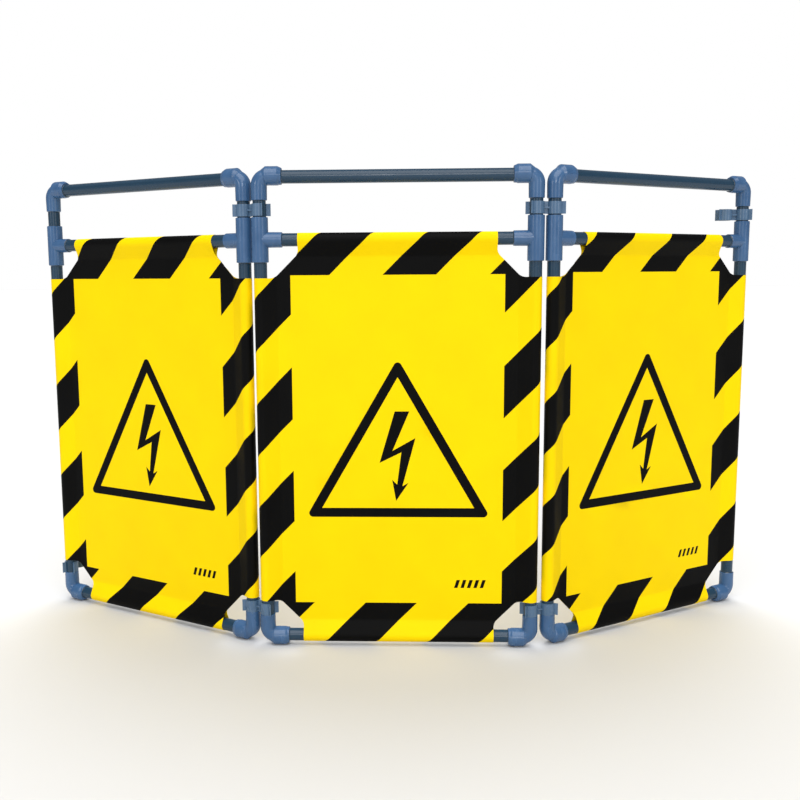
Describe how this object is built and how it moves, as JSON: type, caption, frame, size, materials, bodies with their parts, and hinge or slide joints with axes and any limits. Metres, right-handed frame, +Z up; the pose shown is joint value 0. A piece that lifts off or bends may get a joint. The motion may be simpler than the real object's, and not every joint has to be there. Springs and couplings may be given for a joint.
{
  "type": "folding safety barrier screen",
  "caption": "Free-standing folding barrier of plastic pipe frames, each with a sleeved hazard-striped sheet, hinged to the next by swivelling double clips.",
  "frame": {"origin": "on the floor, under the middle of the box that the standing barrier fills", "axes": "+Z up; +X along the centre panel, from the left panel to the right panel as seen from the front; +Y from the front towards the back, the way the side panels are folded"},
  "size_m": [2.0471, 0.4524, 1.258],
  "materials": {
    "pipe": "extruded dark blue-grey rigid PVC, satin",
    "fitting": "moulded mid blue-grey rigid PVC, semi-gloss",
    "clip": "moulded blue-grey rigid PVC, semi-gloss",
    "printed_sheet": "PVC-coated polyester, printed in yellow and black"
  },
  "bodies": {
    "centre_panel": {"centre_panel_top_rail": "pipe", "centre_panel_mid_rail": "pipe", "centre_panel_bottom_rail": "pipe", "centre_panel_sheet": "printed_sheet", "centre_panel_left_stub": "pipe", "centre_panel_left_post": "pipe", "centre_panel_left_tee": "fitting", "centre_panel_left_top_elbow": "fitting", "centre_panel_left_bottom_elbow": "fitting", "centre_panel_right_stub": "pipe", "centre_panel_right_post": "pipe", "centre_panel_right_tee": "fitting", "centre_panel_right_top_elbow": "fitting", "centre_panel_right_bottom_elbow": "fitting"},
    "left_hinge": {"left_hinge_top_clip": "clip", "left_hinge_bottom_clip": "clip"},
    "left_panel": {"left_panel_top_rail": "pipe", "left_panel_mid_rail": "pipe", "left_panel_bottom_rail": "pipe", "left_panel_sheet": "printed_sheet", "left_panel_left_stub": "pipe", "left_panel_left_post": "pipe", "left_panel_left_tee": "fitting", "left_panel_left_top_elbow": "fitting", "left_panel_left_bottom_elbow": "fitting", "left_panel_right_stub": "pipe", "left_panel_right_post": "pipe", "left_panel_right_tee": "fitting", "left_panel_right_top_elbow": "fitting", "left_panel_right_bottom_elbow": "fitting"},
    "right_hinge": {"right_hinge_top_clip": "clip", "right_hinge_bottom_clip": "clip"},
    "right_panel": {"right_panel_top_rail": "pipe", "right_panel_mid_rail": "pipe", "right_panel_bottom_rail": "pipe", "right_panel_sheet": "printed_sheet", "right_panel_left_stub": "pipe", "right_panel_left_post": "pipe", "right_panel_left_tee": "fitting", "right_panel_left_top_elbow": "fitting", "right_panel_left_bottom_elbow": "fitting", "right_panel_right_stub": "pipe", "right_panel_right_post": "pipe", "right_panel_right_tee": "fitting", "right_panel_right_top_elbow": "fitting", "right_panel_right_bottom_elbow": "fitting"},
    "left_spare": {"left_spare_clip": "clip"},
    "right_spare": {"right_spare_clip": "clip"}
  },
  "joints": [
    {"name": "left_hinge_inner", "type": "hinge", "parent": "centre_panel", "child": "left_hinge", "pos_m": [-0.33962, -0.19646, 0], "axis": [0, 0, 1], "range_deg": [-62, 118]},
    {"name": "left_hinge_outer", "type": "hinge", "parent": "left_hinge", "child": "left_panel", "pos_m": [-0.38377, -0.17298, 0], "axis": [0, 0, 1], "range_deg": [-90, 90]},
    {"name": "right_hinge_inner", "type": "hinge", "parent": "centre_panel", "child": "right_hinge", "pos_m": [0.36038, -0.19646, 0], "axis": [0, 0, 1], "range_deg": [-107, 73]},
    {"name": "right_hinge_outer", "type": "hinge", "parent": "right_hinge", "child": "right_panel", "pos_m": [0.4082, -0.18184, 0], "axis": [0, 0, 1], "range_deg": [-105, 75]},
    {"name": "left_spare_swivel", "type": "hinge", "parent": "left_panel", "child": "left_spare", "pos_m": [-1.00183, 0.15565, 0], "axis": [0, 0, -1], "range_deg": [-205, 70]},
    {"name": "right_spare_swivel", "type": "hinge", "parent": "right_panel", "child": "right_spare", "pos_m": [1.00183, 0.1891, 0], "axis": [0, 0, -1], "continuous": true}
  ]
}
